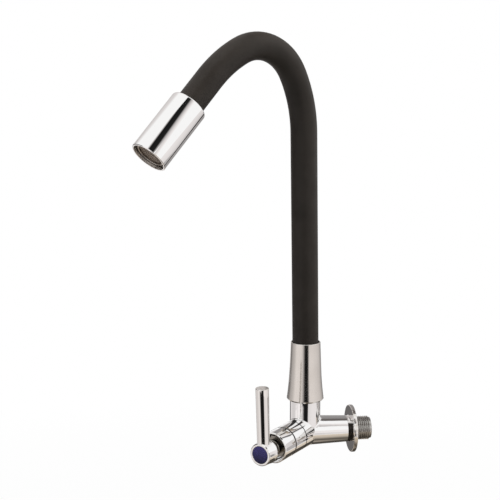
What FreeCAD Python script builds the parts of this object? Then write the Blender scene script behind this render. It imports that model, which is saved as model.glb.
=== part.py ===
import FreeCAD, Part
import math
import os

from FreeCAD import Vector

# Wall-mounted kitchen tap with a quarter-turn valve and a flexible hose spout.
# Millimetres. The origin is the centre of the flange's wall face, on the inlet axis.
# +Z is up, +Y points into the wall, and the room is on the -Y side.

# Layout: the inlet, riser and valve axes meet at one point in front of the wall.
projection = 44.0
valve_yaw = 50.0
spout_yaw = 30.0

# Shared clearances, and how much of a bevel a rounded corner's middle takes
running_fit = 0.05
slip_fit = 0.1
seal_gap = 0.02
open_gap = 0.3
corner_share = 1 - math.sqrt(0.5)

# Inlet tube and its G1/2 thread
inlet_root_r = 13.2
inlet_end_r = 11.7
shoulder_chamfer = 0.7
inlet_bore_r = 6.5
thread_crest_r = 10.4775
thread_root_r = 9.3155
thread_pitch = 1.814
thread_flat = 0.36
thread_turns = 7
thread_relief_r = 9.6
thread_tip = 1.0

# Wall flange
flange_r = 21.0
flange_rim = 3.4
flange_rise = 0.5
flange_edge = 0.6
flange_hole_r = 10.65
collar_r = 11.4
collar_length = 2.2

# Riser neck and the socket in it
neck_r = 13.5
neck_top = 46.0
neck_edge = 0.5
riser_bore_r = 7.5
riser_floor = 8.5
socket_r = 10.0
socket_floor = 14.0
elbow_r = 13.5
crotch_fillet = 1.4
crotch_samples = 9

# Valve barrel, its chamber and the water ways
barrel_r = 13.4
barrel_end = 38.6
barrel_groove_at = 19.8
barrel_groove_width = 1.2
barrel_groove_depth = 0.6
barrel_edge = 0.6
chamber_r = 10.3
seat_at = 14.0
seat_bore_r = 4.0
port_r = 2.5
port_slope = 0.5
port_height_at_seat = 8.1
port_reach = 6.0

# Cartridge
seat_seal_in_r = 4.4
seat_seal_out_r = 8.3
seat_seal_length = 1.5
nose_r = 8.5
nose_bore_r = 7.5
nose_bore_length = 9.3
nose_length = 11.5
cartridge_flange_r = 12.0
cartridge_flange_length = 3.0
cartridge_o_ring_r = 0.58
cartridge_o_ring_space = 1.2
hex_across = 17.0
hex_length = 7.2
hex_sides = 6
gland_r = 6.9
gland_length = 7.0
gland_edge = 0.5
window_width = 8.0
window_length = 4.5
window_offset = 4.0

# Ceramic discs
disc_r = 7.4
disc_thickness = 3.0
disc_hole_in_r = 2.2
disc_hole_out_r = 5.9
disc_hole_angle = 78.0
disc_slot_depth = 1.2

# Spindle
spindle_r = 4.0
foot_width = 5.0
foot_length = 4.2
foot_r = 7.1
spindle_groove_r = 2.5
spindle_groove_width = 1.9
spindle_groove_spacing = 4.0
spindle_groove_offset = 5.5
spindle_o_ring_r = 0.75
spindle_clip_r = 5.4
spindle_clip_thickness = 0.8
spindle_clip_depth = 0.6
spindle_tip_r = 3.5
spindle_tip_length = 7.0
spindle_shoulder = 2.0
screw_hole_r = 1.65
screw_hole_depth = 10.0

# Bonnet cover
bonnet_r = 13.4
bonnet_wall = 1.35
bonnet_end = 56.3
bonnet_lip_r = 10.6
bonnet_lip_length = 1.8
bonnet_edge = 0.8
bonnet_back_round = 1.2

# Handle hub
boss_r = 6.6
boss_length = 3.4
waist_r = 7.2
hub_r = 10.2
hub_length = 15.0
hub_front_r = 9.7
hub_edge = 0.7
hub_round = 5.5
hub_round_middle_r = 9.6
hub_round_middle = 1.925
button_r = 7.5
button_depth = 2.3
button_edge = 0.3
counterbore_r = 3.7
counterbore_depth = 5.2

# Handle screw
screw_head_r = 3.5
screw_head_length = 2.8
screw_shank_r = 1.6
screw_shank_length = 9.0
screw_socket = 3.0
screw_socket_depth = 1.6

# Lever rod
lever_setback = 6.2
lever_lean = 3.0
lever_seat = 8.2
lever_bottom_r = 5.35
lever_top_r = 5.6
lever_top = 56.8
lever_edge = 0.5
stub_r = 2.4
stub_length = 3.0

# Swivel tail, its seals, slide ring and clip
tail_foot_gap = 0.5
tail_chamfer = 1.0
tail_bore_r = 6.0
swivel_groove_r = 8.1
swivel_groove_width = 2.4
swivel_groove_spacing = 7.0
swivel_groove_offset = 6.0
swivel_o_ring_r = 0.9
washer_in_r = 10.3
washer_out_r = 13.2
washer_thickness = 1.0
clip_height = 40.0
clip_thickness = 1.2
clip_in_r = 9.3
clip_out_r = 10.7
clip_opening = 40.0
tail_flange_thickness = 2.3
spigot_r = 3.95
spigot_bore_r = 2.8
spigot_length = 16.0

# Bell over the swivel joint
bell_bottom = 28.8
bell_bottom_r = 16.35
bell_chamfer = 1.4
bell_low = 41.0
bell_low_r = 15.1
bell_waist = 51.0
bell_waist_r = 14.3
bell_top = 81.3
bell_top_r = 13.1
bell_edge = 0.3
bell_neck_gap = 0.4
bell_hose_gap = 0.6

# Hose: three layers on one centre line
sleeve_r = 11.5
sleeve_wall = 2.8
core_r = 8.4
core_wall = 2.2
water_hose_r = 5.6
water_hose_bore_r = 4.0
crimp_in_gap = 0.05
crimp_wall = 0.5
crimp_length = 10.0

# Centre line: a plumb start, a slight lean, a straight run, then the arch in three arcs
hose_plumb_length = 17.0
hose_lean_radius = 350.0
hose_lean = 1.15
hose_straight_length = 190.9
arch_rise_radius = 110.0
arch_rise_turn = 28.3
arch_crown_radius = 41.0
arch_crown_turn = 88.0
arch_fall_radius = 111.0
arch_fall_turn = 20.0
hose_fall_length = 28.7
hose_inset = 28.0

# Bends: where the hose is bent by hand, and how far each bend goes
lower_bend_at = 80.0
lower_bend_limit = 45.0
side_bend_at = 170.0
side_bend_limit = 30.0
upper_bend_turn = 90.0
upper_bend_limit = 50.0
bend_spare = 1.0
lower_split_at = 125.0
upper_split_at = 217.0

# Nozzle
nozzle_r = 15.3
nozzle_wall = 1.4
nozzle_length = 55.0
nozzle_top_wall = 3.0
nozzle_top_round = 1.5
nozzle_mouth_edge = 0.4
nozzle_hose_gap = 0.2

# Hose connector inside the nozzle
connector_disc_length = 9.6
connector_socket_r = 12.0
connector_socket_length = 9.0
connector_hose_gap = 0.2
connector_bore_r = 6.0

# Aerator
aerator_recess = 2.4
aerator_rim_r = 12.3
aerator_rim_length = 5.4
aerator_thread_r = 11.95
aerator_bore_r = 11.0
aerator_lip = 0.4
aerator_lip_length = 0.9
aerator_washer_in_r = 8.0
aerator_washer_thickness = 1.5
screen_thickness = 0.6
screen_pitch = 1.5
screen_hole = 1.0
screen_rim = 0.9
core_disc_length = 9.0
core_hole_r = 0.8
core_hole_ring_r = 8.0
core_hole_count = 12

# Heights and depths that follow from the sizes above
inlet_shoulder = -(flange_rim + flange_rise + collar_length)
thread_end = (thread_turns + 1) * thread_pitch + thread_tip - thread_flat
cartridge_start = seat_at + seat_seal_length
cartridge_flange_at = barrel_end + cartridge_o_ring_space
hex_start = cartridge_flange_at + cartridge_flange_length
gland_start = hex_start + hex_length
gland_end = gland_start + gland_length
nose_bore_end = cartridge_start + nose_bore_length
moving_disc_at = cartridge_start + disc_thickness + seal_gap
spindle_foot_at = moving_disc_at + disc_thickness - disc_slot_depth
spindle_shaft_at = spindle_foot_at + foot_length
spindle_clip_at = gland_end + running_fit
hub_back = spindle_clip_at + spindle_clip_thickness + open_gap
spindle_step = hub_back + spindle_shoulder
spindle_end = spindle_step + spindle_tip_length
hub_front = hub_back + boss_length + hub_length
button_floor = hub_front - button_depth
screw_seat = button_floor - counterbore_depth
lever_at = hub_front - lever_setback
tail_r = socket_r - running_fit
tail_flange_at = neck_top + washer_thickness
tail_flange_top = tail_flange_at + tail_flange_thickness
bell_bore_r = neck_r + bell_neck_gap
hose_foot = tail_flange_top + open_gap
sleeve_bore_r = sleeve_r - sleeve_wall
core_bore_r = core_r - core_wall
nozzle_bore_r = nozzle_r - nozzle_wall
connector_at = hose_inset + connector_hose_gap
connector_socket_at = connector_at + connector_disc_length
aerator_end = nozzle_length - aerator_recess
aerator_start = connector_socket_at + aerator_washer_thickness

# Directions
up = Vector(0, 0, 1)
into_wall = Vector(0, 1, 0)
junction = Vector(0, -projection, 0)


def heading(yaw):
    """Level direction that is turned from the room side towards +X."""
    angle = math.radians(yaw)
    return Vector(math.sin(angle), -math.cos(angle), 0)


valve_dir = heading(valve_yaw)
spout_dir = heading(spout_yaw)
bend_axis = up.cross(spout_dir)


def frame_at(origin, x_dir, z_dir):
    """Placement that puts a piece made along Z at origin, along z_dir."""
    y_dir = z_dir.cross(x_dir)
    rows = []
    for x, y, z, o in zip(x_dir, y_dir, z_dir, origin):
        rows += [x, y, z, o]
    return FreeCAD.Placement(FreeCAD.Matrix(*rows, 0, 0, 0, 1))


inlet_frame = frame_at(Vector(0, 0, 0), Vector(1, 0, 0), into_wall)
riser_frame = frame_at(junction, Vector(1, 0, 0), up)
valve_frame = frame_at(junction, up.cross(valve_dir), valve_dir)


def placed(shape, frame):
    """Moves a piece from its own frame to where it belongs."""
    moved = shape.copy()
    moved.Placement = frame.multiply(moved.Placement)
    return moved


def lathe(*outline):
    """Turns a closed outline about Z. A step is (radius, height), or a pair of
    such points for an arc: the point on its way and its end."""
    start = Vector(outline[0][0], 0, outline[0][1])
    edges = []
    last = start
    for step in list(outline[1:]) + [outline[0]]:
        if isinstance(step[0], tuple):
            middle = Vector(step[0][0], 0, step[0][1])
            end = Vector(step[1][0], 0, step[1][1])
            edges.append(Part.Arc(last, middle, end).toShape())
        else:
            end = Vector(step[0], 0, step[1])
            edges.append(Part.LineSegment(last, end).toShape())
        last = end
    return Part.Face(Part.Wire(edges)).revolve(Vector(0, 0, 0), up, 360)


def ring(inner_r, outer_r, start, end):
    """Plain tube along Z."""
    outer = Part.makeCylinder(outer_r, end - start, Vector(0, 0, start))
    inner = Part.makeCylinder(inner_r, end - start, Vector(0, 0, start))
    return outer.cut(inner)


def rod(radius, start, end):
    """Plain cylinder along Z."""
    return Part.makeCylinder(radius, end - start, Vector(0, 0, start))


def o_ring(reach_r, section_r, height):
    """Round seal whose outside reaches reach_r."""
    return Part.makeTorus(reach_r - section_r, section_r, Vector(0, 0, height))


def snap_ring(inner_r, outer_r, start, thickness, opening):
    """Flat ring with a gap, as a clip has."""
    sweep = 360 - opening
    outer = Part.makeCylinder(outer_r, thickness, Vector(0, 0, start), up, sweep)
    inner = Part.makeCylinder(inner_r, thickness, Vector(0, 0, start), up, sweep)
    return outer.cut(inner)


def thread_outline():
    """Spigot from the inlet's shoulder to its open end. Its thread starts at the wall
    face, as a row of ridges with flat crests and roots."""
    flank = (thread_pitch - 2 * thread_flat) / 2
    outline = [
        (0, inlet_shoulder),
        (thread_relief_r, inlet_shoulder),
        (thread_relief_r, 0),
    ]
    for turn in range(thread_turns + 1):
        crest = turn * thread_pitch
        outline += [
            (thread_crest_r, crest),
            (thread_crest_r, crest + thread_flat),
            (thread_root_r, crest + thread_flat + flank),
            (thread_root_r, crest + thread_pitch - flank),
        ]
    outline += [(thread_root_r, thread_end), (0, thread_end)]
    return outline


def body_shell():
    """Outside of the casting: inlet tube, elbow, riser neck and valve barrel."""
    tube_length = projection + inlet_shoulder
    tube = Part.makeCone(
        inlet_root_r,
        inlet_end_r,
        tube_length - shoulder_chamfer,
        junction,
        into_wall,
    )
    tip = Part.makeCone(
        inlet_end_r,
        inlet_end_r - shoulder_chamfer,
        shoulder_chamfer,
        junction + into_wall * (tube_length - shoulder_chamfer),
        into_wall,
    )
    neck = placed(rod(neck_r, 0, neck_top), riser_frame)
    barrel = placed(
        lathe(
            (0, 0),
            (barrel_r, 0),
            (barrel_r, barrel_end - barrel_edge),
            (barrel_r - barrel_edge, barrel_end),
            (0, barrel_end),
        ),
        valve_frame,
    )
    elbow = Part.makeSphere(elbow_r, junction)
    return elbow.fuse([tube, tip, neck, barrel]).Solids[0]


def body_water_ways():
    """All that is hollow in the casting."""
    inlet = Part.makeCylinder(
        inlet_bore_r, thread_end + projection, junction, into_wall
    )
    riser = placed(rod(riser_bore_r, riser_floor, neck_top), riser_frame)
    socket = placed(rod(socket_r, socket_floor, neck_top), riser_frame)
    clip_groove = placed(
        rod(
            clip_out_r + slip_fit,
            clip_height - running_fit,
            clip_height + clip_thickness + running_fit,
        ),
        riser_frame,
    )
    lead_in = placed(
        Part.makeCone(
            socket_r, socket_r + neck_edge, neck_edge, Vector(0, 0, neck_top - neck_edge)
        ),
        riser_frame,
    )
    seat = placed(rod(seat_bore_r, 0, seat_at), valve_frame)
    chamber = placed(rod(chamber_r, seat_at, barrel_end), valve_frame)
    port_start = Vector(0, port_height_at_seat + port_slope * seat_at, 0)
    port_end = Vector(
        0, port_height_at_seat - port_slope * port_reach, seat_at + port_reach
    )
    port_run = port_end - port_start
    port = placed(
        Part.makeCylinder(port_r, port_run.Length, port_start, port_run), valve_frame
    )
    return [inlet, riser, socket, clip_groove, lead_in, seat, chamber, port]


def crotch_edges(shell):
    """Edges where the riser neck runs into the inlet tube and the barrel."""
    found = []
    for edge in shell.Edges:
        if edge.Degenerated:
            continue
        points = edge.discretize(crotch_samples)
        distances = [math.hypot(p.x, p.y + projection) for p in points]
        heights = [p.z for p in points]
        on_neck = max(distances) < neck_r + seal_gap and min(distances) > neck_r - seal_gap
        slopes = max(heights) - min(heights) > seal_gap
        if on_neck and slopes and min(heights) > -seal_gap and max(heights) < neck_r:
            found.append(edge)
    return found


def faucet_body():
    shell = body_shell()
    shell = shell.makeFillet(crotch_fillet, crotch_edges(shell))
    spigot = placed(lathe(*thread_outline()), inlet_frame)
    groove = placed(
        ring(
            barrel_r - barrel_groove_depth,
            barrel_r + neck_r,
            barrel_groove_at,
            barrel_groove_at + barrel_groove_width,
        ),
        valve_frame,
    )
    return shell.fuse(spigot).cut(body_water_ways() + [groove])


def wall_flange():
    front = -flange_rim
    crest = front - flange_rise
    corner = flange_edge * corner_share
    return placed(
        lathe(
            (flange_hole_r, 0),
            (flange_r - flange_edge, 0),
            ((flange_r - corner, -corner), (flange_r, -flange_edge)),
            (flange_r, front + flange_edge),
            ((flange_r - corner, front + corner), (flange_r - flange_edge, front)),
            (collar_r + flange_rise, crest),
            (collar_r, crest - flange_rise),
            (collar_r, inlet_shoulder),
            (flange_hole_r, inlet_shoulder),
        ),
        inlet_frame,
    )


def seat_seal():
    return placed(
        ring(seat_seal_in_r, seat_seal_out_r, seat_at, cartridge_start), valve_frame
    )


def hexagon(across, start, end):
    """Hexagonal prism along Z."""
    step = 2 * math.pi / hex_sides
    corner_r = across / 2 / math.cos(step / 2)
    corners = [
        Vector(corner_r * math.cos(step * i), corner_r * math.sin(step * i), start)
        for i in range(hex_sides + 1)
    ]
    return Part.Face(Part.makePolygon(corners)).extrude(up * (end - start))


def cartridge_body():
    nose_end = cartridge_start + nose_length
    thread_r = chamber_r - slip_fit
    turned = lathe(
        (0, cartridge_start),
        (nose_r, cartridge_start),
        (nose_r, nose_end),
        (thread_r, nose_end + (thread_r - nose_r)),
        (thread_r, cartridge_flange_at),
        (cartridge_flange_r, cartridge_flange_at),
        (cartridge_flange_r, hex_start),
        (gland_r, hex_start),
        (gland_r, gland_end - gland_edge),
        (gland_r - gland_edge, gland_end),
        (0, gland_end),
    )
    turned = turned.fuse(hexagon(hex_across, hex_start, gland_start))
    window = Part.makeBox(
        window_width,
        4 * nose_r,
        window_length,
        Vector(-window_width / 2, -2 * nose_r, cartridge_start + window_offset),
    )
    hollow = [
        rod(nose_bore_r, cartridge_start, nose_bore_end),
        rod(spindle_r + slip_fit, nose_bore_end, gland_end),
        window,
    ]
    return placed(turned.cut(hollow), valve_frame)


def cartridge_o_ring():
    middle = barrel_end + cartridge_o_ring_space / 2
    return placed(
        o_ring(cartridge_flange_r - seal_gap, cartridge_o_ring_r, middle), valve_frame
    )


def disc_openings(start, first_angle):
    """Two opposite openings of a ceramic disc."""
    openings = []
    for side in (0, 180):
        turn = first_angle + side - disc_hole_angle / 2
        outer = Part.makeCylinder(
            disc_hole_out_r, disc_thickness, Vector(0, 0, start), up, disc_hole_angle
        )
        inner = Part.makeCylinder(disc_hole_in_r, disc_thickness, Vector(0, 0, start))
        opening = outer.cut(inner)
        opening.rotate(Vector(0, 0, 0), up, turn)
        openings.append(opening)
    return openings


def fixed_ceramic_disc():
    disc = rod(disc_r, cartridge_start, cartridge_start + disc_thickness)
    return placed(disc.cut(disc_openings(cartridge_start, 90)), valve_frame)


def moving_ceramic_disc():
    """A quarter turn from the fixed disc at rest, so the tap is shut."""
    disc = rod(disc_r - slip_fit, moving_disc_at, moving_disc_at + disc_thickness)
    slot = Part.makeBox(
        foot_width + slip_fit,
        4 * disc_r,
        disc_slot_depth,
        Vector(-(foot_width + slip_fit) / 2, -2 * disc_r, spindle_foot_at),
    )
    cuts = disc_openings(moving_disc_at, 0) + [slot]
    return placed(disc.cut(cuts), valve_frame)


def spindle_groove_heights():
    first = nose_bore_end + spindle_groove_offset
    return [first, first + spindle_groove_spacing]


def spindle():
    foot_box = Part.makeBox(
        foot_width,
        4 * foot_r,
        foot_length,
        Vector(-foot_width / 2, -2 * foot_r, spindle_foot_at),
    )
    foot = rod(foot_r, spindle_foot_at, spindle_shaft_at).common(foot_box)
    shaft = rod(spindle_r, spindle_shaft_at, spindle_step)
    tip = rod(spindle_tip_r, spindle_step, spindle_end)
    cuts = [rod(screw_hole_r, spindle_end - screw_hole_depth, spindle_end)]
    for height in spindle_groove_heights():
        cuts.append(
            ring(
                spindle_groove_r,
                2 * spindle_r,
                height - spindle_groove_width / 2,
                height + spindle_groove_width / 2,
            )
        )
    cuts.append(
        ring(
            spindle_r - spindle_clip_depth,
            2 * spindle_r,
            spindle_clip_at - seal_gap,
            spindle_clip_at + spindle_clip_thickness + seal_gap,
        )
    )
    return placed(foot.fuse([shaft, tip]).cut(cuts), valve_frame)


def spindle_o_rings():
    reach = spindle_r + slip_fit - seal_gap
    return Part.makeCompound(
        [
            placed(o_ring(reach, spindle_o_ring_r, height), valve_frame)
            for height in spindle_groove_heights()
        ]
    )


def spindle_clip():
    return placed(
        snap_ring(
            spindle_r - spindle_clip_depth + running_fit,
            spindle_clip_r,
            spindle_clip_at,
            spindle_clip_thickness,
            clip_opening,
        ),
        valve_frame,
    )


def bonnet_cover():
    bore_r = bonnet_r - bonnet_wall
    lip_end = hex_start + bonnet_lip_length
    back = barrel_end + open_gap
    corner = bonnet_back_round * corner_share
    return placed(
        lathe(
            (bore_r, back),
            (bonnet_r - bonnet_back_round, back),
            ((bonnet_r - corner, back + corner), (bonnet_r, back + bonnet_back_round)),
            (bonnet_r, bonnet_end - bonnet_edge),
            (bonnet_r - bonnet_edge, bonnet_end),
            (bore_r, bonnet_end),
            (bore_r, lip_end),
            (bonnet_lip_r, lip_end),
            (bonnet_lip_r, hex_start),
            (bore_r, hex_start),
        ),
        valve_frame,
    )


def lever_frame():
    """Along the leaning lever, from the valve axis upwards."""
    lean = math.radians(lever_lean)
    along = up * math.cos(lean) + valve_dir * math.sin(lean)
    foot = junction + valve_dir * lever_at
    return frame_at(foot, up.cross(valve_dir), along)


def handle_hub():
    hub_start = hub_back + boss_length
    full = hub_start + hub_round
    turned = lathe(
        (0, hub_back),
        (boss_r - hub_edge, hub_back),
        (boss_r, hub_back + hub_edge),
        (boss_r, hub_start),
        (waist_r, hub_start),
        ((hub_round_middle_r, hub_start + hub_round_middle), (hub_r, full)),
        (hub_front_r, hub_front - hub_edge),
        (hub_front_r - hub_edge, hub_front),
        (0, hub_front),
    )
    lever_hole = placed(
        rod(lever_bottom_r + running_fit, lever_seat, 2 * hub_r), lever_frame()
    )
    stub_hole = placed(
        rod(stub_r + running_fit, lever_seat - stub_length - slip_fit, 2 * hub_r),
        lever_frame(),
    )
    bores = [
        rod(spindle_r + running_fit, hub_back, spindle_step + slip_fit),
        rod(spindle_tip_r + running_fit, hub_back, spindle_end + slip_fit),
        rod(screw_shank_r + open_gap, hub_back, hub_front),
        rod(counterbore_r, screw_seat, hub_front),
        rod(button_r + running_fit, button_floor, hub_front),
    ]
    hub = placed(turned.cut(bores), valve_frame)
    return hub.cut([lever_hole, stub_hole])


def lever_rod():
    return placed(
        lathe(
            (0, lever_seat - stub_length),
            (stub_r, lever_seat - stub_length),
            (stub_r, lever_seat),
            (lever_bottom_r, lever_seat),
            (lever_top_r, lever_top - lever_edge),
            (lever_top_r - lever_edge, lever_top),
            (0, lever_top),
        ),
        lever_frame(),
    )


def handle_screw():
    head_end = screw_seat + screw_head_length
    shank = rod(screw_shank_r, screw_seat - screw_shank_length, screw_seat)
    head = rod(screw_head_r, screw_seat, head_end)
    socket = hexagon(screw_socket, head_end - screw_socket_depth, head_end)
    return placed(shank.fuse(head).cut(socket), valve_frame)


def index_button():
    corner = button_edge * corner_share
    return placed(
        lathe(
            (0, button_floor),
            (button_r, button_floor),
            (button_r, hub_front - button_edge),
            ((button_r - corner, hub_front - corner), (button_r - button_edge, hub_front)),
            (0, hub_front),
        ),
        valve_frame,
    )


def swivel_groove_heights():
    first = socket_floor + swivel_groove_offset
    return [first, first + swivel_groove_spacing]


def swivel_tail():
    foot = socket_floor + tail_foot_gap
    turned = lathe(
        (0, foot),
        (tail_r - tail_chamfer, foot),
        (tail_r, foot + tail_chamfer),
        (tail_r, tail_flange_at),
        (bell_bore_r - running_fit, tail_flange_at),
        (bell_bore_r - running_fit, tail_flange_top),
        (spigot_r, tail_flange_top),
        (spigot_r, tail_flange_top + spigot_length),
        (0, tail_flange_top + spigot_length),
    )
    cuts = [
        rod(tail_bore_r, foot, tail_flange_at),
        rod(spigot_bore_r, foot, tail_flange_top + spigot_length),
        ring(
            clip_in_r - slip_fit,
            2 * tail_r,
            clip_height - running_fit,
            clip_height + clip_thickness + running_fit,
        ),
    ]
    for height in swivel_groove_heights():
        cuts.append(
            ring(
                swivel_groove_r,
                2 * tail_r,
                height - swivel_groove_width / 2,
                height + swivel_groove_width / 2,
            )
        )
    return placed(turned.cut(cuts), riser_frame)


def swivel_o_rings():
    return Part.makeCompound(
        [
            placed(o_ring(socket_r - seal_gap, swivel_o_ring_r, height), riser_frame)
            for height in swivel_groove_heights()
        ]
    )


def swivel_washer():
    return placed(
        ring(washer_in_r, washer_out_r, neck_top, tail_flange_at), riser_frame
    )


def swivel_clip():
    return placed(
        snap_ring(clip_in_r, clip_out_r, clip_height, clip_thickness, clip_opening),
        riser_frame,
    )


def spout_bell():
    passage_r = sleeve_r + bell_hose_gap
    return placed(
        lathe(
            (bell_bore_r, bell_bottom),
            (bell_bottom_r - bell_chamfer, bell_bottom),
            (bell_bottom_r, bell_bottom + bell_chamfer),
            ((bell_low_r, bell_low), (bell_waist_r, bell_waist)),
            (bell_top_r, bell_top - bell_edge),
            (bell_top_r - bell_edge, bell_top),
            (passage_r, bell_top),
            (passage_r, tail_flange_top),
            (bell_bore_r, tail_flange_top),
        ),
        riser_frame,
    )


def hose_runs():
    """The centre line's runs: (length, radius), with no radius for a straight one."""
    bends = [
        (hose_lean_radius, hose_lean),
        (arch_rise_radius, arch_rise_turn - hose_lean),
        (arch_crown_radius, arch_crown_turn),
        (arch_fall_radius, arch_fall_turn),
    ]
    arcs = [(radius * math.radians(turn), radius) for radius, turn in bends]
    return [
        (hose_plumb_length, None),
        arcs[0],
        (hose_straight_length, None),
        arcs[1],
        arcs[2],
        arcs[3],
        (hose_fall_length + hose_inset, None),
    ]


def hose_step(point, angle, length, radius):
    """Where the centre line is after a run, and its turn from plumb there."""
    out = spout_dir * math.sin(angle) + up * math.cos(angle)
    if radius is None:
        return point + out * length, angle
    centre = point + (spout_dir * math.cos(angle) - up * math.sin(angle)) * radius
    turned = angle + length / radius
    end = centre + (up * math.sin(turned) - spout_dir * math.cos(turned)) * radius
    return end, turned


def hose_station(distance):
    """Point and turn of the centre line at a distance along it."""
    point = junction + up * hose_foot
    angle = 0.0
    for length, radius in hose_runs():
        if distance <= length:
            break
        point, angle = hose_step(point, angle, length, radius)
        distance -= length
    return hose_step(point, angle, distance, radius)


def hose_frame(distance):
    """Frame at a distance along the centre line, with Z along the hose."""
    point, angle = hose_station(distance)
    along = spout_dir * math.sin(angle) + up * math.cos(angle)
    return frame_at(point, bend_axis, along)


def hose_length():
    return sum(length for length, radius in hose_runs())


def crown_distance():
    """Distance along the centre line at which it has turned by upper_bend_turn."""
    rise = hose_plumb_length + hose_lean_radius * math.radians(hose_lean)
    rise += hose_straight_length
    rise += arch_rise_radius * math.radians(arch_rise_turn - hose_lean)
    left = math.radians(upper_bend_turn - arch_rise_turn)
    return rise + arch_crown_radius * left


def hose_layer(inner_r, outer_r, start, end):
    """One layer of the hose from start to end along the centre line."""
    pieces = []
    run_start = 0.0
    for length, radius in hose_runs():
        run_end = run_start + length
        low = max(start, run_start)
        high = min(end, run_end)
        if high > low:
            pieces.append(layer_piece(inner_r, outer_r, low, high, radius))
        run_start = run_end
    return pieces[0].fuse(pieces[1:]) if len(pieces) > 1 else pieces[0]


def solid_run(section_r, length, radius):
    """Solid rod, straight or bent in the arch plane, that starts along Z."""
    if radius is None:
        return rod(section_r, 0, length)
    section = Part.Face(Part.Wire(Part.makeCircle(section_r)))
    hinge = Vector(1, 0, 0)
    centre = up.cross(hinge) * -radius
    return section.revolve(centre, hinge, math.degrees(length / radius))


def layer_piece(inner_r, outer_r, low, high, radius):
    """Straight tube or part of a torus tube between two distances on one run."""
    tube = solid_run(outer_r, high - low, radius)
    tube = tube.cut(solid_run(inner_r, high - low, radius))
    return placed(tube, hose_frame(low))


def bend_gap(limit):
    """Space that a bend needs between two runs of the gooseneck."""
    return 2 * core_r * math.tan(math.radians(limit) / 2) + bend_spare


def gooseneck(start, end):
    return hose_layer(core_bore_r, core_r, start, end)


def gooseneck_base():
    return gooseneck(0, lower_bend_at - bend_gap(lower_bend_limit) / 2)


def gooseneck_lower():
    return gooseneck(
        lower_bend_at + bend_gap(lower_bend_limit) / 2,
        side_bend_at - bend_gap(side_bend_limit) / 2,
    )


def gooseneck_upper():
    return gooseneck(
        side_bend_at + bend_gap(side_bend_limit) / 2,
        crown_distance() - bend_gap(upper_bend_limit) / 2,
    )


def gooseneck_head():
    return gooseneck(
        crown_distance() + bend_gap(upper_bend_limit) / 2, hose_length()
    )


def hose_stretches():
    """The three stretches that bend, each across one bend."""
    return {
        "lower": (0, lower_split_at),
        "middle": (lower_split_at, upper_split_at),
        "arch": (upper_split_at, hose_length()),
    }


def crimp_ring(start):
    """Thin sleeve that clamps the water hose on a spigot."""
    inner_r = water_hose_r + crimp_in_gap
    return hose_layer(inner_r, inner_r + crimp_wall, start, start + crimp_length)


def nozzle_frame():
    return hose_frame(hose_length() - hose_inset)


def nozzle_housing():
    corner = nozzle_top_round * corner_share
    hole_r = sleeve_r + nozzle_hose_gap
    return placed(
        lathe(
            (hole_r, 0),
            (nozzle_r - nozzle_top_round, 0),
            ((nozzle_r - corner, corner), (nozzle_r, nozzle_top_round)),
            (nozzle_r, nozzle_length - nozzle_mouth_edge),
            (nozzle_r - nozzle_mouth_edge, nozzle_length),
            (nozzle_bore_r, nozzle_length),
            (nozzle_bore_r, nozzle_top_wall),
            (hole_r, nozzle_top_wall),
        ),
        nozzle_frame(),
    )


def hose_connector():
    body_r = nozzle_bore_r - running_fit
    turned = lathe(
        (0, connector_at - spigot_length),
        (spigot_r, connector_at - spigot_length),
        (spigot_r, connector_at),
        (body_r, connector_at),
        (body_r, connector_socket_at + connector_socket_length),
        (0, connector_socket_at + connector_socket_length),
    )
    cuts = [
        rod(spigot_bore_r, connector_at - spigot_length, connector_socket_at),
        rod(
            connector_socket_r,
            connector_socket_at,
            connector_socket_at + connector_socket_length,
        ),
        rod(
            connector_bore_r,
            connector_at + connector_disc_length / 2,
            connector_socket_at,
        ),
    ]
    return placed(turned.cut(cuts), nozzle_frame())


def aerator_washer():
    return placed(
        ring(
            aerator_washer_in_r,
            aerator_thread_r,
            connector_socket_at,
            aerator_start,
        ),
        nozzle_frame(),
    )


def aerator_housing():
    rim_at = aerator_end - aerator_rim_length
    lip_r = aerator_bore_r - aerator_lip
    return placed(
        lathe(
            (aerator_bore_r, aerator_start),
            (aerator_thread_r, aerator_start),
            (aerator_thread_r, rim_at),
            (aerator_rim_r, rim_at),
            (aerator_rim_r, aerator_end - nozzle_mouth_edge),
            (aerator_rim_r - nozzle_mouth_edge, aerator_end),
            (lip_r, aerator_end),
            (lip_r, aerator_end - aerator_lip_length),
            (aerator_bore_r, aerator_end - aerator_lip_length),
        ),
        nozzle_frame(),
    )


def aerator_screen():
    """Woven screen as a flat net on the aerator's lip."""
    top = aerator_end - aerator_lip_length - screen_thickness
    outer_r = aerator_bore_r - slip_fit
    clear_r = outer_r - screen_rim
    holes = []
    count = int(clear_r / screen_pitch) + 1
    for i in range(-count, count + 1):
        for j in range(-count, count + 1):
            x = i * screen_pitch
            y = j * screen_pitch
            half = screen_hole / 2
            if math.hypot(abs(x) + half, abs(y) + half) < clear_r:
                corners = [
                    Vector(x - half, y - half, top),
                    Vector(x - half, y + half, top),
                    Vector(x + half, y + half, top),
                    Vector(x + half, y - half, top),
                    Vector(x - half, y - half, top),
                ]
                holes.append(Part.makePolygon(corners))
    outer = Part.Wire(Part.makeCircle(outer_r, Vector(0, 0, top), up))
    net = Part.Face([outer] + holes).extrude(up * screen_thickness)
    return placed(net, nozzle_frame())


def aerator_core():
    """Plastic insert that breaks the jet up, above the screen."""
    end = aerator_end - aerator_lip_length - screen_thickness
    disc = rod(aerator_bore_r - slip_fit, end - core_disc_length, end)
    holes = []
    for i in range(core_hole_count):
        angle = 2 * math.pi * i / core_hole_count
        foot = Vector(
            core_hole_ring_r * math.cos(angle),
            core_hole_ring_r * math.sin(angle),
            end - core_disc_length,
        )
        holes.append(Part.makeCylinder(core_hole_r, core_disc_length, foot))
    return placed(disc.cut(holes), nozzle_frame())


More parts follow.
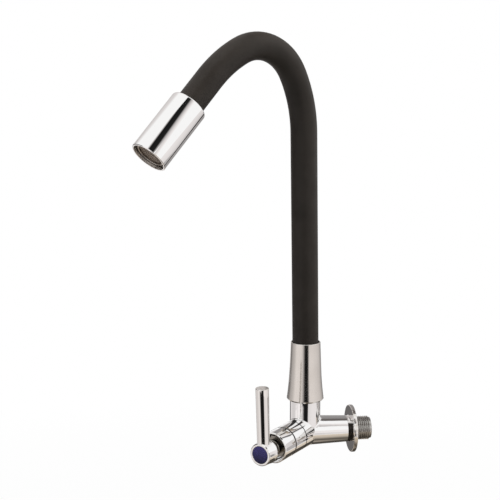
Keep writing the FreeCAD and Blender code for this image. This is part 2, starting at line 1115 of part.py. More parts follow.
def upper_crimp_ring():
    spigot_start = hose_length() - hose_inset + connector_at - spigot_length
    return crimp_ring(spigot_start + open_gap)


def all_nodes():
    nodes = {
        "faucet_body": faucet_body(),
        "wall_flange": wall_flange(),
        "seat_seal": seat_seal(),
        "cartridge_body": cartridge_body(),
        "cartridge_o_ring": cartridge_o_ring(),
        "fixed_ceramic_disc": fixed_ceramic_disc(),
        "moving_ceramic_disc": moving_ceramic_disc(),
        "spindle": spindle(),
        "spindle_o_rings": spindle_o_rings(),
        "spindle_clip": spindle_clip(),
        "bonnet_cover": bonnet_cover(),
        "handle_hub": handle_hub(),
        "lever_rod": lever_rod(),
        "handle_screw": handle_screw(),
        "index_button": index_button(),
        "swivel_tail": swivel_tail(),
        "swivel_o_rings": swivel_o_rings(),
        "swivel_washer": swivel_washer(),
        "swivel_clip": swivel_clip(),
        "spout_bell": spout_bell(),
        "gooseneck_base": gooseneck_base(),
        "gooseneck_lower": gooseneck_lower(),
        "gooseneck_upper": gooseneck_upper(),
        "gooseneck_head": gooseneck_head(),
        "lower_crimp_ring": crimp_ring(open_gap + crimp_wall),
        "upper_crimp_ring": upper_crimp_ring(),
        "hose_connector": hose_connector(),
        "nozzle_housing": nozzle_housing(),
        "aerator_washer": aerator_washer(),
        "aerator_housing": aerator_housing(),
        "aerator_core": aerator_core(),
        "aerator_screen": aerator_screen(),
    }
    for name, (start, end) in hose_stretches().items():
        nodes["silicone_sleeve_" + name] = hose_layer(
            sleeve_bore_r, sleeve_r, start, end
        )
        nodes["water_hose_" + name] = hose_layer(
            water_hose_bore_r, water_hose_r, start, end
        )
    return nodes


def main():
    os.makedirs("parts", exist_ok=True)
    for name, shape in all_nodes().items():
        shape.exportStep("parts/" + name + ".step")
        print(name, len(shape.Solids), round(shape.Volume, 1), shape.isValid())
    for name, distance in (
        ("lower bend", lower_bend_at),
        ("side bend", side_bend_at),
        ("upper bend", crown_distance()),
        ("lower split", lower_split_at),
        ("upper split", upper_split_at),
        ("nozzle top", hose_length() - hose_inset),
    ):
        point, angle = hose_station(distance)
        print(name, [round(c, 3) for c in point], round(math.degrees(angle), 2))
    print("hose length", round(hose_length(), 1))


main()
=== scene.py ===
import math

import bpy
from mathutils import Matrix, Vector


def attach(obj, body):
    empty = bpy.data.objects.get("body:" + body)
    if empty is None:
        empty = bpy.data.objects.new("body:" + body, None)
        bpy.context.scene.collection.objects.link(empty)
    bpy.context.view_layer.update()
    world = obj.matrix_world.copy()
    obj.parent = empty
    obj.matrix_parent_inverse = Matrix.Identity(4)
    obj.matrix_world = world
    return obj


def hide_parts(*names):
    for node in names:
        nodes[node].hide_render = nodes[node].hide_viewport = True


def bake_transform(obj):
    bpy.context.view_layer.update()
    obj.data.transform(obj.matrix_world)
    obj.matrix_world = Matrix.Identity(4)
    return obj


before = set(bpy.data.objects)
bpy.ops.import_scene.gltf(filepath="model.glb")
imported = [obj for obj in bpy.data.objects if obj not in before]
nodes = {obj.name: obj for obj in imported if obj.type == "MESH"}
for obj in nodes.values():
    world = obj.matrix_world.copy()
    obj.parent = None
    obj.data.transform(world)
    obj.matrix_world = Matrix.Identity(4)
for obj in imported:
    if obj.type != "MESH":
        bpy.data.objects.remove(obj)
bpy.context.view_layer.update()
bpy.ops.object.select_all(action="DESELECT")
up = Vector((0.0, 0.0, 1.0))
print("frame loaded:", len(nodes), "nodes")


# camera, in front of the tap and a little above it
camera = {
    "place": (0.8489, -0.2085, 0.2890),
    "along": (-0.98058, 0.13270, -0.14440),
    "lens": 72.0,
    "clip": 0.01,
}


def addCamera():
    bpy.ops.object.camera_add(location=camera["place"])
    eye = bpy.context.object
    eye.rotation_euler = Vector(camera["along"]).to_track_quat("-Z", "Y").to_euler()
    eye.data.lens = camera["lens"]
    eye.data.clip_start = camera["clip"]
    bpy.context.scene.camera = eye


addCamera()
print("camera set")


# where the valve leaves the body, in metres, and the ways that the valve and the inlet point
mm = 0.001
valveYaw = math.radians(-40.0)
tapAxes = {
    "junction": Vector((0.0, -0.044, 0.0)),
    "valve": Vector((math.cos(valveYaw), math.sin(valveYaw), 0.0)),
    "inlet": Vector((0.0, 1.0, 0.0)),
}


# shader helpers
def addNode(tree, kind, place, **settings):
    node = tree.nodes.new(kind)
    node.location = place
    for key, value in settings.items():
        if key in node.inputs:
            node.inputs[key].default_value = value
        else:
            setattr(node, key, value)
    return node


def link(tree, fromNode, output, toNode, entry):
    tree.links.new(fromNode.outputs[output], toNode.inputs[entry])


def addRange(tree, place, values, results=(0.0, 1.0)):
    spread = addNode(tree, "ShaderNodeMapRange", place)
    for key, value in zip(("From Min", "From Max", "To Min", "To Max"), (*values, *results)):
        spread.inputs[key].default_value = value
    return spread


# a mix node's sockets go by number: the two values that it takes, and the one that it gives
mixSockets = {"FLOAT": (2, 3, 0), "RGBA": (6, 7, 2)}


# each value is a constant or another node's output
def mixByMask(tree, kind, place, low, high, mask):
    first, last, result = mixSockets[kind]
    mix = addNode(tree, "ShaderNodeMix", place, data_type=kind)
    for entry, value in ((0, mask), (first, low), (last, high)):
        if isinstance(value, (tuple, float)):
            mix.inputs[entry].default_value = value
        else:
            tree.links.new(value, mix.inputs[entry])
    return mix.outputs[result]


def newGroup(name, entries, exits):
    tree = bpy.data.node_groups.new(name, "ShaderNodeTree")
    for label, kind, value in entries:
        socket = tree.interface.new_socket(label, in_out="INPUT", socket_type=kind)
        socket.default_value = value
    for label, kind in exits:
        tree.interface.new_socket(label, in_out="OUTPUT", socket_type=kind)
    return tree, addNode(tree, "NodeGroupInput", (-1100, 0)), addNode(tree, "NodeGroupOutput", (700, 0))


number, direction, colour = "NodeSocketFloat", "NodeSocketVector", "NodeSocketColor"

# noise keeps near its middle, so a band of it is stretched to the whole range
noises = {
    "haze": {"band": (0.32, 0.68), "settings": {"Detail": 4.0, "Roughness": 0.6}},
    "drift": {"band": (0.3, 0.7), "settings": {"Detail": 5.0, "Roughness": 0.55}},
    "rub": {"band": (0.42, 0.62), "settings": {"Detail": 5.0, "Roughness": 0.7, "Scale": 420.0}},
}


def addClouds(tree, name, place):
    coords = addNode(tree, "ShaderNodeTexCoord", (place[0] - 400, place[1] - 250))
    clouds = addNode(tree, "ShaderNodeTexNoise", place, **noises[name]["settings"])
    spread = addRange(tree, (place[0] + 300, place[1]), noises[name]["band"])
    link(tree, coords, "Object", clouds, "Vector")
    link(tree, clouds, "Fac", spread, "Value")
    return clouds, spread


# soft clouds between two values, as wiping and handling leave
def makeHaze():
    tree, start, end = newGroup(
        "wipedHaze",
        [("Size", number, 60.0), ("Low", number, 0.05), ("High", number, 0.1)],
        [("Value", number)],
    )
    clouds, spread = addClouds(tree, "haze", (-600, 0))
    link(tree, start, "Size", clouds, "Scale")
    link(tree, start, "Low", spread, "To Min")
    link(tree, start, "High", spread, "To Max")
    link(tree, spread, "Result", end, "Value")
    return tree


# colour that drifts a little between two tones
def makeDrift():
    tree, start, end = newGroup(
        "toneDrift",
        [("Dark", colour, (0.1, 0.1, 0.1, 1.0)), ("Light", colour, (0.2, 0.2, 0.2, 1.0)), ("Size", number, 30.0)],
        [("Color", colour)],
    )
    clouds, spread = addClouds(tree, "drift", (-600, 0))
    link(tree, start, "Size", clouds, "Scale")
    tone = mixByMask(
        tree, "RGBA", (200, 0), start.outputs["Dark"], start.outputs["Light"], spread.outputs["Result"],
    )
    tree.links.new(tone, end.inputs["Color"])
    return tree


# fine grain: even, or drawn out level or upright by its two scales
def makeGrain():
    tree, start, end = newGroup(
        "fineGrain",
        [("Level", number, 900.0), ("Upright", number, 900.0), ("Depth", number, 0.05)],
        [("Normal", direction)],
    )
    coords = addNode(tree, "ShaderNodeTexCoord", (-1100, -250))
    axes = addNode(tree, "ShaderNodeCombineXYZ", (-900, -450))
    drawn = addNode(tree, "ShaderNodeVectorMath", (-700, -250), operation="MULTIPLY")
    grain = addNode(tree, "ShaderNodeTexNoise", (-450, 0), Detail=3.0, Scale=1.0)
    bump = addNode(tree, "ShaderNodeBump", (250, 0), Distance=0.00002)
    link(tree, start, "Level", axes, "X")
    link(tree, start, "Level", axes, "Y")
    link(tree, start, "Upright", axes, "Z")
    link(tree, coords, "Object", drawn, 0)
    link(tree, axes, "Vector", drawn, 1)
    link(tree, drawn, "Vector", grain, "Vector")
    link(tree, grain, "Fac", bump, "Height")
    link(tree, start, "Depth", bump, "Strength")
    link(tree, bump, "Normal", end, "Normal")
    return tree


# how far a point lies along an axis, and how far out from it
def makePlace():
    tree, start, end = newGroup(
        "axisPlace",
        [("Origin", direction, (0.0, 0.0, 0.0)), ("Axis", direction, (0.0, 0.0, 1.0))],
        [("Along", number), ("Out", number)],
    )
    coords = addNode(tree, "ShaderNodeTexCoord", (-1100, -250))
    arm = addNode(tree, "ShaderNodeVectorMath", (-700, 0), operation="SUBTRACT")
    reach = addNode(tree, "ShaderNodeVectorMath", (-400, 100), operation="DOT_PRODUCT")
    shadow = addNode(tree, "ShaderNodeVectorMath", (-150, -100), operation="SCALE")
    side = addNode(tree, "ShaderNodeVectorMath", (100, -100), operation="SUBTRACT")
    size = addNode(tree, "ShaderNodeVectorMath", (350, -100), operation="LENGTH")
    link(tree, coords, "Object", arm, 0)
    link(tree, start, "Origin", arm, 1)
    link(tree, arm, "Vector", reach, 0)
    link(tree, start, "Axis", reach, 1)
    link(tree, start, "Axis", shadow, 0)
    link(tree, reach, "Value", shadow, "Scale")
    link(tree, arm, "Vector", side, 0)
    link(tree, shadow, "Vector", side, 1)
    link(tree, side, "Vector", size, 0)
    link(tree, reach, "Value", end, "Along")
    link(tree, size, "Value", end, "Out")
    return tree


# worn line where a value comes near to the one at an edge, broken up by rubbing
def makeWear():
    tree, start, end = newGroup(
        "edgeWear",
        [("Value", number, 0.0), ("Edge", number, 0.0), ("Width", number, 0.001), ("Before", number, 0.0)],
        [("Mask", number)],
    )
    rubbed = addClouds(tree, "rub", (-650, -400))[1]
    off = addNode(tree, "ShaderNodeMath", (-850, 100), operation="SUBTRACT")
    far = addNode(tree, "ShaderNodeMath", (-650, 100), operation="ABSOLUTE")
    share = addNode(tree, "ShaderNodeMath", (-450, 100), operation="DIVIDE")
    near = addNode(tree, "ShaderNodeMath", (-250, 100), operation="SUBTRACT", use_clamp=True)
    near.inputs[0].default_value = 1.0  # full on the edge, gone at the width
    both = addNode(tree, "ShaderNodeMath", (0, 0), operation="MULTIPLY")
    most = addNode(tree, "ShaderNodeMath", (250, 0), operation="MAXIMUM")
    link(tree, start, "Value", off, 0)
    link(tree, start, "Edge", off, 1)
    link(tree, off, 0, far, 0)
    link(tree, far, 0, share, 0)
    link(tree, start, "Width", share, 1)
    link(tree, share, 0, near, 1)
    link(tree, near, 0, both, 0)
    link(tree, rubbed, "Result", both, 1)
    link(tree, both, 0, most, 0)
    link(tree, start, "Before", most, 1)
    link(tree, most, 0, end, "Mask")
    return tree


haze, drift, grain, axisPlace, edgeWear = makeHaze(), makeDrift(), makeGrain(), makePlace(), makeWear()
print("node groups made")


def newMaterial(name, **values):
    material = bpy.data.materials.new(name)
    material.use_nodes = True
    tree = material.node_tree
    shader = tree.nodes["Principled BSDF"]
    for key, value in values.items():
        shader.inputs[key.replace("_", " ")].default_value = value
    return material, tree, shader


def useGroup(tree, group, place, **values):
    node = addNode(tree, "ShaderNodeGroup", place, node_tree=group)
    for key, value in values.items():
        node.inputs[key].default_value = value
    return node


def opaque(tone):
    return (*tone, 1.0)


# mask that is full at one value and gone at another
def rampMask(tree, value, place, full, none):
    results = (1.0, 0.0) if full < none else (0.0, 1.0)
    ramp = addRange(tree, place, (min(full, none), max(full, none)), results)
    tree.links.new(value, ramp.inputs["Value"])
    return ramp.outputs["Result"]


def joinMasks(tree, operation, place, one, other):
    both = addNode(tree, "ShaderNodeMath", place, operation=operation)
    tree.links.new(one, both.inputs[0])
    tree.links.new(other, both.inputs[1])
    return both.outputs[0]


# a look is a tone and a roughness; the plain one drifts between two of each
def plainLook(tree, height, values):
    low, high = values["rough"]
    tone = useGroup(tree, drift, (-900, height), Size=values.get("toneSize", 30.0),
                    Dark=opaque(values["dark"]), Light=opaque(values["light"]))
    rough = useGroup(tree, haze, (-900, height - 200), Size=values.get("hazeSize", 50.0), Low=low, High=high)
    return tone.outputs["Color"], rough.outputs["Value"]


# one look gives way to another where a mask says so
def coverLook(tree, across, look, cover, mask):
    tone = mixByMask(tree, "RGBA", (across, 400), look[0], cover[0], mask)
    rough = mixByMask(tree, "FLOAT", (across, 0), look[1], cover[1], mask)
    return tone, rough


def showLook(tree, shader, look, relief):
    tree.links.new(look[0], shader.inputs["Base Color"])
    tree.links.new(look[1], shader.inputs["Roughness"])
    link(tree, relief, "Normal", shader, "Normal")


# worn edges, and the aerator's painted highlight line, are listed as (measure, where the worn line lies, its width),
# with one of axisPlace's measures
def wearAndHighlightMask(tree, values):
    place = useGroup(tree, axisPlace, (-1700, 0), Origin=values["origin"], Axis=values["axis"])
    mask = None
    for i, (measure, at, width) in enumerate(values["edges"]):
        wearAndHighlight = useGroup(tree, edgeWear, (-1450 + i * 120, 150 - i * 200), Edge=at, Width=width)
        link(tree, place, measure, wearAndHighlight, "Value")
        if mask is not None:
            tree.links.new(mask, wearAndHighlight.inputs["Before"])
        mask = wearAndHighlight.outputs["Mask"]
    return mask


# places of painted shade, and the nozzle's matte lining, are listed as (measure, where full, where gone); a height
# range can keep them to one side of a height
def shadeAndMatteMask(tree, values):
    place = useGroup(tree, axisPlace, (-1700, -700), Origin=values["origin"], Axis=values["axis"])
    mask = None
    for i, (measure, full, none) in enumerate(values["shadeAndMatte"]):
        part = rampMask(tree, place.outputs[measure], (-1300 + i * 150, -700 - i * 200), full, none)
        mask = part if mask is None else joinMasks(tree, "MAXIMUM", (-1000, -900 - i * 200), mask, part)
    if "shadeAndMatteHeight" in values:
        height = useGroup(tree, axisPlace, (-1700, -1300), Origin=(0.0, 0.0, 0.0), Axis=up)
        within = rampMask(tree, height.outputs["Along"], (-1300, -1300), *values["shadeAndMatteHeight"])
        mask = joinMasks(tree, "MULTIPLY", (-800, -1100), mask, within)
    return mask


# a surface from two tones, a roughness range and a grain, with worn edges, painted shade and a matte lining where
# listed
def makeFinish(name, values):
    material, tree, shader = newMaterial(
        name, Metallic=values.get("metal", 0.0), Specular_IOR_Level=values.get("shine", 0.5),
    )
    look = plainLook(tree, 400, values)
    across, upright, depth = values["grain"]
    lines = useGroup(tree, grain, (-900, -400), Level=across, Upright=upright, Depth=depth)
    if "edges" in values:
        wearAndHighlight = opaque(values["wearAndHighlightTone"]), values["wornRough"]
        look = coverLook(tree, -300, look, wearAndHighlight, wearAndHighlightMask(tree, values))
    # painted shade where a piece lists it, and the nozzle's matte lining
    if "shadeAndMatte" in values:
        shadeAndMatte = opaque(values["shadeAndMatteTone"]), values["shadeAndMatteRough"]
        look = coverLook(tree, -100, look, shadeAndMatte, shadeAndMatteMask(tree, values))
    showLook(tree, shader, look, lines)
    return material


# assigns one material to CAD pieces whose shape stays
def dress(material, *names):
    for name in names:
        slots = nodes[name].data.materials
        slots.clear()
        slots.append(material)


# modelling helpers
sharpAngle = 28.0  # degrees, above which an edge is rounded, or stays sharp on the casting
roundSteps = 3  # facets across a rounded edge
mergeGap = 0.000002  # metres, under which two corners are one


def deselectAll():
    bpy.ops.object.select_all(action="DESELECT")


# the last piece becomes the active one
def pick(*pieces):
    deselectAll()
    for piece in pieces:
        piece.select_set(True)
    bpy.context.view_layer.objects.active = pieces[-1]


def startEditing():
    bpy.ops.object.mode_set(mode="EDIT")
    bpy.ops.mesh.select_all(action="SELECT")


# turns all faces outwards
def endEditing():
    bpy.ops.mesh.select_all(action="SELECT")
    bpy.ops.mesh.normals_make_consistent(inside=False)
    bpy.ops.object.mode_set(mode="OBJECT")


def shadeSmooth(angle):
    bpy.ops.object.shade_smooth_by_angle(angle=math.radians(angle))


def applyTransform():
    bpy.ops.object.transform_apply(location=True, rotation=True, scale=True)


def applyModifiers(piece):
    for modifier in list(piece.modifiers):
        bpy.ops.object.modifier_apply(modifier=modifier.name)


# an offset of -1 puts the wall inside the surface, and 0 half on each side
def thicken(piece, thickness, offset):
    wall = piece.modifiers.new("wall", "SOLIDIFY")
    wall.thickness = thickness
    wall.offset = offset
    applyModifiers(piece)


def placeAlong(piece, origin, axis, side="Y"):
    piece.location = origin
    piece.rotation_euler = axis.to_track_quat("Z", side).to_euler()
    applyTransform()


def carry(piece, node, body):
    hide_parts(node)
    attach(piece, body)


# quarter of a round corner, as (radius, height) steps that follow its first point
def corner(start, end, outFirst, steps=6):
    (startR, startH), (endR, endH) = start, end
    points = []
    for i in range(1, steps + 1):
        turn = math.radians(90.0) * i / steps
        first, last = math.sin(turn), 1.0 - math.cos(turn)
        if outFirst:
            points.append((startR + (endR - startR) * first, startH + (endH - startH) * last))
        else:
            points.append((startR + (endR - startR) * last, startH + (endH - startH) * first))
    return points


# smooth curve through three points, evenly stepped in height
def swell(start, middle, end, steps):
    points = []
    for i in range(1, steps + 1):
        share = i / steps
        height = start[1] + (end[1] - start[1]) * share
        radius = 0.0
        for one, two, three in ((start, middle, end), (middle, start, end), (end, start, middle)):
            part = (height - two[1]) * (height - three[1]) / ((one[1] - two[1]) * (one[1] - three[1]))
            radius += one[0] * part
        points.append((radius, height))
    return points


# turned piece: a circle drawn out and resized along an outline, its sharp edges rounded, in millimetres
def turned(name, outline, sides, edge):
    deselectAll()
    radius, height = outline[0]
    bpy.ops.mesh.primitive_circle_add(vertices=sides, radius=radius * mm, location=(0.0, 0.0, height * mm))
    piece = bpy.context.object
    piece.name = name
    applyTransform()
    startEditing()
    for nextRadius, nextHeight in outline[1:]:
        bpy.ops.mesh.extrude_region_move(
            TRANSFORM_OT_translate={"value": (0.0, 0.0, (nextHeight - height) * mm)})
        share = nextRadius / radius
        bpy.ops.transform.resize(value=(share, share, 1.0), center_override=(0.0, 0.0, nextHeight * mm))
        radius, height = nextRadius, nextHeight
    bpy.ops.mesh.select_all(action="SELECT")
    bpy.ops.mesh.remove_doubles(threshold=mergeGap)
    bpy.ops.mesh.fill_holes(sides=0)
    endEditing()
    if edge:
        bpy.ops.object.shade_smooth()
        rim = piece.modifiers.new("rim", "BEVEL")
        rim.width = edge * mm
        rim.segments = roundSteps
        rim.limit_method = "ANGLE"
        rim.angle_limit = math.radians(sharpAngle)
        rim.harden_normals = True
    return piece


# casting of the tap: bright chrome, with bare dull metal on the thread behind the wall face, and painted shade in the
# barrel's groove and inside the bonnet
casting = {
    "light": (0.93, 0.925, 0.92), "dark": (0.89, 0.885, 0.88), "toneSize": 20.0,
    "rough": (0.02, 0.05), "hazeSize": 45.0, "peelSize": 90.0, "peelDepth": 0.00006,
    "thread": {"light": (0.60, 0.585, 0.56), "dark": (0.42, 0.405, 0.385), "toneSize": 220.0,
               "rough": (0.2, 0.36), "hazeSize": 200.0},
    "threadFade": (-0.0005, 0.0005), "grooveWalls": ((0.0196, 0.0201), (0.0207, 0.0212)), "wallFade": 0.0001,
    # the dark tone is painted shade for the barrel's groove and the part inside the bonnet
    "grooveOut": (0.0132, 0.01338), "endAt": (0.0382, 0.0378), "shadeAndMatteTone": (0.045, 0.04, 0.036), "shadeAndMatteRough": 0.35,
}


# painted shade on the walls of the barrel's groove and at its end, inside the bonnet
def paintedGrooveShade(tree):
    valve = useGroup(tree, axisPlace, (-2100, -700), Origin=tapAxes["junction"], Axis=tapAxes["valve"])
    walls, fade = None, casting["wallFade"]
    for i, (low, high) in enumerate(casting["grooveWalls"]):
        after = rampMask(tree, valve.outputs["Along"], (-1900, -600 - i * 500), low + fade, low)
        before = rampMask(tree, valve.outputs["Along"], (-1900, -800 - i * 500), high - fade, high)
        wall = joinMasks(tree, "MULTIPLY", (-1700, -700 - i * 500), after, before)
        walls = wall if walls is None else joinMasks(tree, "MAXIMUM", (-1500, -900), walls, wall)
    deep = rampMask(tree, valve.outputs["Out"], (-1500, -1300), *casting["grooveOut"])
    end = rampMask(tree, valve.outputs["Along"], (-1500, -1500), *casting["endAt"])
    return joinMasks(tree, "MAXIMUM", (-1100, -1100), joinMasks(tree, "MULTIPLY", (-1300, -1000), walls, deep), end)


def castingFinish():
    material, tree, shader = newMaterial("castChrome", Metallic=1.0)
    place = useGroup(tree, axisPlace, (-1500, 0), Origin=(0.0, 0.0, 0.0), Axis=tapAxes["inlet"])
    pastFace = addRange(tree, (-1200, 0), casting["threadFade"])
    link(tree, place, "Along", pastFace, "Value")
    plated, bare = plainLook(tree, 600, casting), plainLook(tree, 150, casting["thread"])
    look = coverLook(tree, -300, plated, bare, pastFace.outputs["Result"])
    # painted shade in the barrel's groove and inside the bonnet
    shadeAndMatte = opaque(casting["shadeAndMatteTone"]), casting["shadeAndMatteRough"]
    look = coverLook(tree, -100, look, shadeAndMatte, paintedGrooveShade(tree))
    coords = addNode(tree, "ShaderNodeTexCoord", (-1200, -500))
    waves = addNode(tree, "ShaderNodeTexNoise", (-900, -500), Scale=casting["peelSize"], Detail=2.0)
    peel = addNode(tree, "ShaderNodeBump", (-300, -500), Distance=casting["peelDepth"], Strength=1.0)
    link(tree, coords, "Object", waves, "Vector")
    link(tree, waves, "Fac", peel, "Height")
    showLook(tree, shader, look, peel)
    return material


# a copy of the casting's own shape, with its faces joined and shaded smooth
def castBody():
    pick(nodes["faucet_body"])
    bpy.ops.object.duplicate()
    body = bpy.context.object
    body.name = "castBody"
    startEditing()
    bpy.ops.mesh.remove_doubles(threshold=mergeGap)
    endEditing()
    bpy.ops.mesh.customdata_custom_splitnormals_clear()
    shadeSmooth(sharpAngle)
    body.data.materials.clear()
    body.data.materials.append(castingFinish())
    carry(body, "faucet_body", "tap_body")


castBody()

# polished plating, as most turned pieces start from
chrome = {
    "light": (0.93, 0.925, 0.92), "dark": (0.90, 0.895, 0.89), "metal": 1.0, "rough": (0.02, 0.05),
    "grain": (500.0, 500.0, 0.03), "wearAndHighlightTone": (0.72, 0.68, 0.62), "wornRough": 0.2,
    # a dark tone for painted shade, on pieces that list such places
    "shadeAndMatteTone": (0.045, 0.04, 0.036), "shadeAndMatteRough": 0.35,
}
print("casting finished")


# a turned piece in its place, with its finish
def addTurned(name, values, node, body):
    piece = turned(name, values["outline"], values.get("sides", 96), values.get("edge", 0.12))
    applyModifiers(piece)
    placeAlong(piece, values["foot"], values["along"])
    piece.data.materials.append(makeFinish(values.get("finishName", name + "Chrome"), values))
    carry(piece, node, body)
    return piece


# wall flange: a pressed and plated plate with a rim that gets scratched
flange = {
    **chrome, "foot": Vector((0.0, 0.0, 0.0)), "along": tapAxes["inlet"], "sides": 128,
    "dark": (0.82, 0.80, 0.785), "light": (0.88, 0.865, 0.85),
    "outline": [
        (10.65, 0.0), (20.4, 0.0), *corner((20.4, 0.0), (21.0, -0.6), True), (21.0, -2.8),
        *corner((21.0, -2.8), (20.4, -3.4), False), (11.9, -3.9), (11.4, -4.4), (11.4, -6.1), (10.65, -6.1),
        (10.65, 0.0)],
    "origin": (0.0, 0.0, 0.0), "axis": tapAxes["inlet"], "edges": [("Out", 0.021, 0.0006)],
    # a painted dark reflection on the lower part of the collar
    "shadeAndMatte": [("Out", 0.0119, 0.0121)], "shadeAndMatteHeight": (0.0070, 0.0082),
}
addTurned("flange", flange, "wall_flange", "tap_body")

# bonnet sleeve: turned, round at its back, with a lip inside that rests on the headwork
bonnet = {
    **chrome, "foot": tapAxes["junction"], "along": tapAxes["valve"],
    "outline": [
        (12.05, 38.9), (12.2, 38.9), *corner((12.2, 38.9), (13.4, 40.1), True), (13.4, 55.5), (12.6, 56.3),
        (12.05, 56.3), (12.05, 44.6), (10.6, 44.6), (10.6, 42.8), (12.05, 42.8), (12.05, 38.9)],
    "origin": tapAxes["junction"], "axis": tapAxes["valve"], "edges": [("Along", 0.0563, 0.0007)],
    # painted shade on the inner bore and the back edge by the barrel's groove, fading out towards the bottom
    "shadeAndMatte": [("Out", 0.0121, 0.0124), ("Along", 0.0391, 0.0395)], "shadeAndMatteHeight": (-0.0055, -0.0085),
}
addTurned("bonnet", bonnet, "bonnet_cover", "tap_body")
print("flange and bonnet made")

# lever: slim rod that leans a little outwards, polished by the hand that turns it
leverLean = math.radians(3.0)
leverOut = 0.07035  # metres from the junction to the lever's foot
leverAxis = up * math.cos(leverLean) + tapAxes["valve"] * math.sin(leverLean)
leverFoot = tapAxes["junction"] + tapAxes["valve"] * leverOut
lever = {
    **chrome, "foot": leverFoot, "along": leverAxis, "sides": 72, "rough": (0.02, 0.07), "hazeSize": 90.0,
    "light": (0.91, 0.89, 0.865), "dark": (0.87, 0.85, 0.825),
    "outline": [
        (0.4, 5.2), (2.4, 5.2), (2.4, 8.2), (5.35, 8.2), (5.6, 56.3), *corner((5.6, 56.3), (5.1, 56.8), False)],
    "origin": leverFoot, "axis": leverAxis, "edges": [("Along", 0.0568, 0.0008)],
}
addTurned("lever", lever, "lever_rod", "handle")

# hub: stepped boss, swelling sides, a recess for the button, and the lever's hole
leverHole = [(0.4, 5.1), (2.45, 5.1), (2.45, 8.2), (5.4, 8.2), (5.4, 16.0)]


def cutLeverHole(piece):
    drill = turned("drill", leverHole, 72, 0.0)
    placeAlong(drill, leverFoot, leverAxis)
    pick(piece)
    hole = piece.modifiers.new("hole", "BOOLEAN")
    hole.operation = "DIFFERENCE"
    hole.solver = "EXACT"
    hole.object = drill
    bpy.ops.object.modifier_apply(modifier=hole.name)
    bpy.data.objects.remove(drill)


hub = {
    **chrome, "foot": tapAxes["junction"], "along": tapAxes["valve"], "rough": (0.02, 0.06),
    "outline": [
        (4.05, 58.15), (5.9, 58.15), (6.6, 58.85), (6.6, 61.55), (7.2, 61.55),
        *swell((7.2, 61.55), (9.6, 63.475), (10.2, 67.05), 10), (9.7, 75.85), (9.0, 76.55), (7.55, 76.55),
        (7.55, 74.25), (3.7, 74.25), (3.7, 69.05), (1.9, 69.05), (1.9, 67.25), (3.55, 67.25), (3.55, 60.25),
        (4.05, 60.25), (4.05, 58.15)],
    "origin": tapAxes["junction"], "axis": tapAxes["valve"], "edges": [("Along", 0.0763, 0.0006)],
}
cutLeverHole(addTurned("hub", hub, "handle_hub", "handle"))

# button in the hub: dark blue enamel with a faint orange peel
button = {
    "finishName": "blueEnamel", "foot": tapAxes["junction"], "along": tapAxes["valve"], "sides": 64, "edge": 0.06,
    "outline": [(0.4, 74.25), (7.5, 74.25), (7.5, 76.25), *corner((7.5, 76.25), (7.2, 76.55), False)],
    "light": (0.054, 0.044, 0.190), "dark": (0.043, 0.036, 0.155), "rough": (0.12, 0.2), "hazeSize": 160.0,
    "toneSize": 140.0, "grain": (700.0, 700.0, 0.4), "shine": 0.2, "origin": tapAxes["junction"], "axis": up,
    # the enamel darkens towards the bottom: painted shade
    "shadeAndMatte": [("Along", -0.007, 0.006)], "shadeAndMatteTone": (0.010, 0.008, 0.044), "shadeAndMatteRough": 0.16,
}
addTurned("button", button, "index_button", "handle")
print("handle made")

# bell: satin, brushed round and round
bell = {
    "finishName": "satinChrome", "foot": tapAxes["junction"], "along": up, "edge": 0.15,
    "outline": [
        (13.9, 28.8), (14.95, 28.8), (16.35, 30.2), *swell((16.35, 30.2), (15.1, 41.0), (14.3, 51.0), 12),
        (13.1, 81.0), (12.8, 81.3), (12.1, 81.3), (12.1, 49.3), (13.9, 49.3), (13.9, 28.8)],
    "light": (0.735, 0.705, 0.665), "dark": (0.68, 0.65, 0.61), "metal": 1.0, "rough": (0.09, 0.14),
    "toneSize": 60.0, "hazeSize": 70.0, "grain": (60.0, 5200.0, 0.5), "origin": (0.0, 0.0, 0.0),
    "axis": up, "edges": [("Along", 0.0811, 0.0006)],
    "wearAndHighlightTone": (0.86, 0.84, 0.80), "wornRough": 0.22,
}
addTurned("bell", bell, "spout_bell", "spout_base")
print("bell made")


